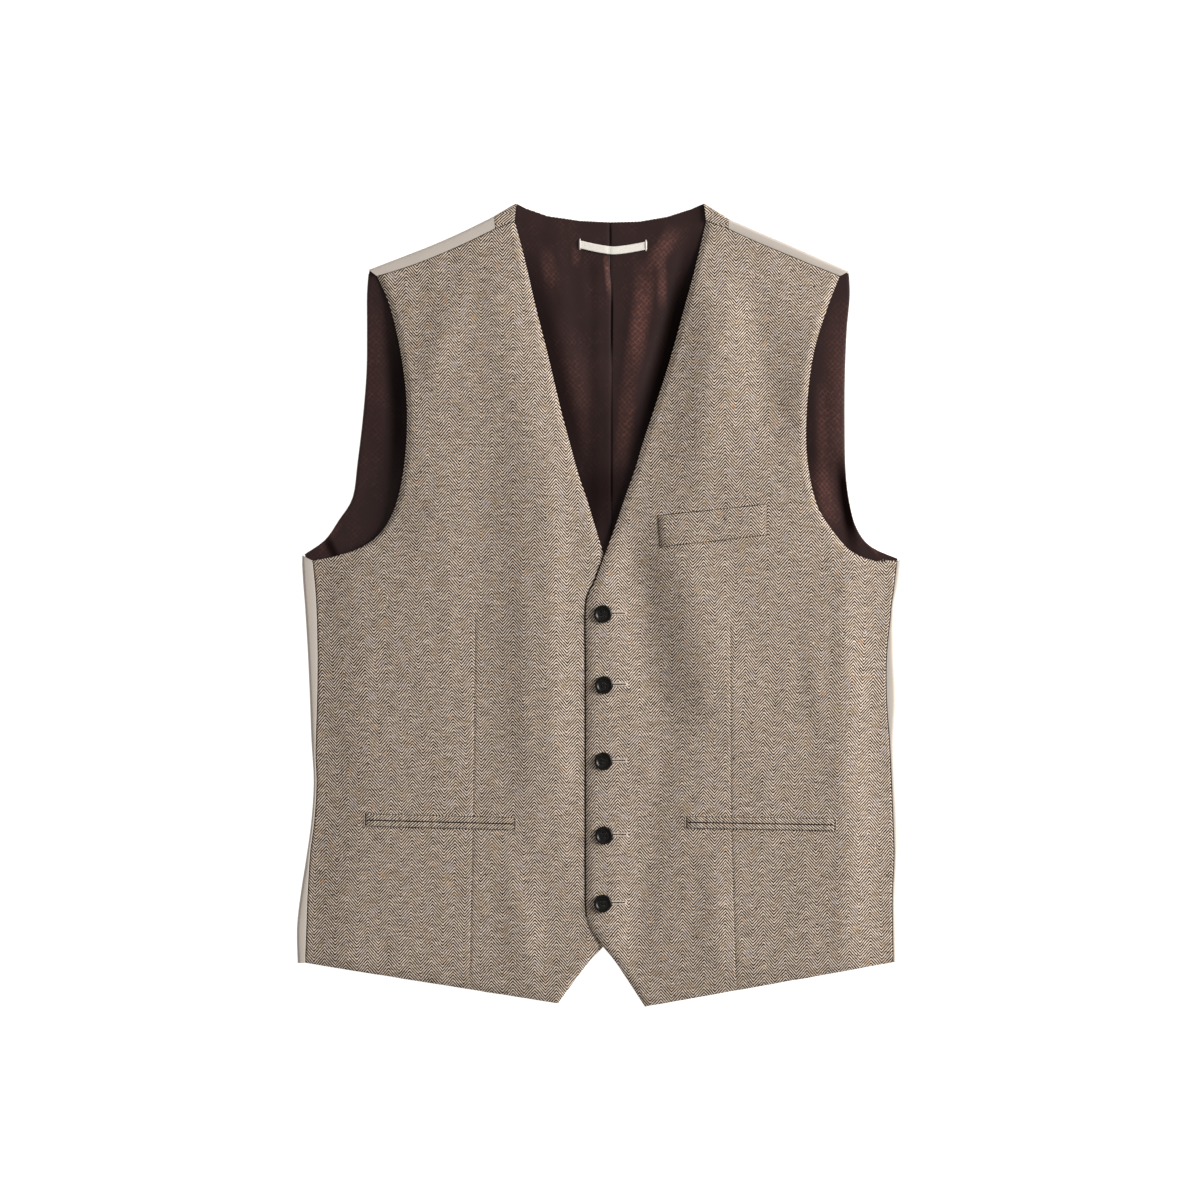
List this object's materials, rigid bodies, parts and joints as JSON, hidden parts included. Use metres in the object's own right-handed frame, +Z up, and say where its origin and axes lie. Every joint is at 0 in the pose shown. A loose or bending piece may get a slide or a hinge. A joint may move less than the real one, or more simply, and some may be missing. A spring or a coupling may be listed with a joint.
{
  "type": "suit waistcoat",
  "caption": "Single-breasted V-neck suit waistcoat laid flat on its back, with tweed fronts, satin back, lining, welt and jetted pockets.",
  "frame": {"origin": "on the surface it lies on, under the middle of its bounding box", "axes": "+X towards the wearer's left side, +Y from hem to neck, +Z up out of the fronts"},
  "size_m": [0.5134, 0.683, 0.0158],
  "materials": {
    "tweed": "herringbone wool tweed in cream and dark brown, matt",
    "satin": "plain beige satin, soft sheen",
    "lining": "dark brown and burgundy lining with a fine rust diagonal lattice, low sheen",
    "tape": "cream woven tape",
    "button": "near-black horn effect, satin gloss"
  },
  "bodies": {
    "root": {"front_right": "tweed", "front_left": "tweed", "back_right": "satin", "back_left": "satin", "neck_band": "tweed", "lining_right": "lining", "lining_left": "lining", "hanger_loop": "tape", "breast_welt": "tweed", "hip_jet_right_upper": "tweed", "hip_jet_right_lower": "tweed", "hip_jet_left_upper": "tweed", "hip_jet_left_lower": "tweed", "button_1": "button", "button_2": "button", "button_3": "button", "button_4": "button", "button_5": "button"}
  },
  "joints": []
}
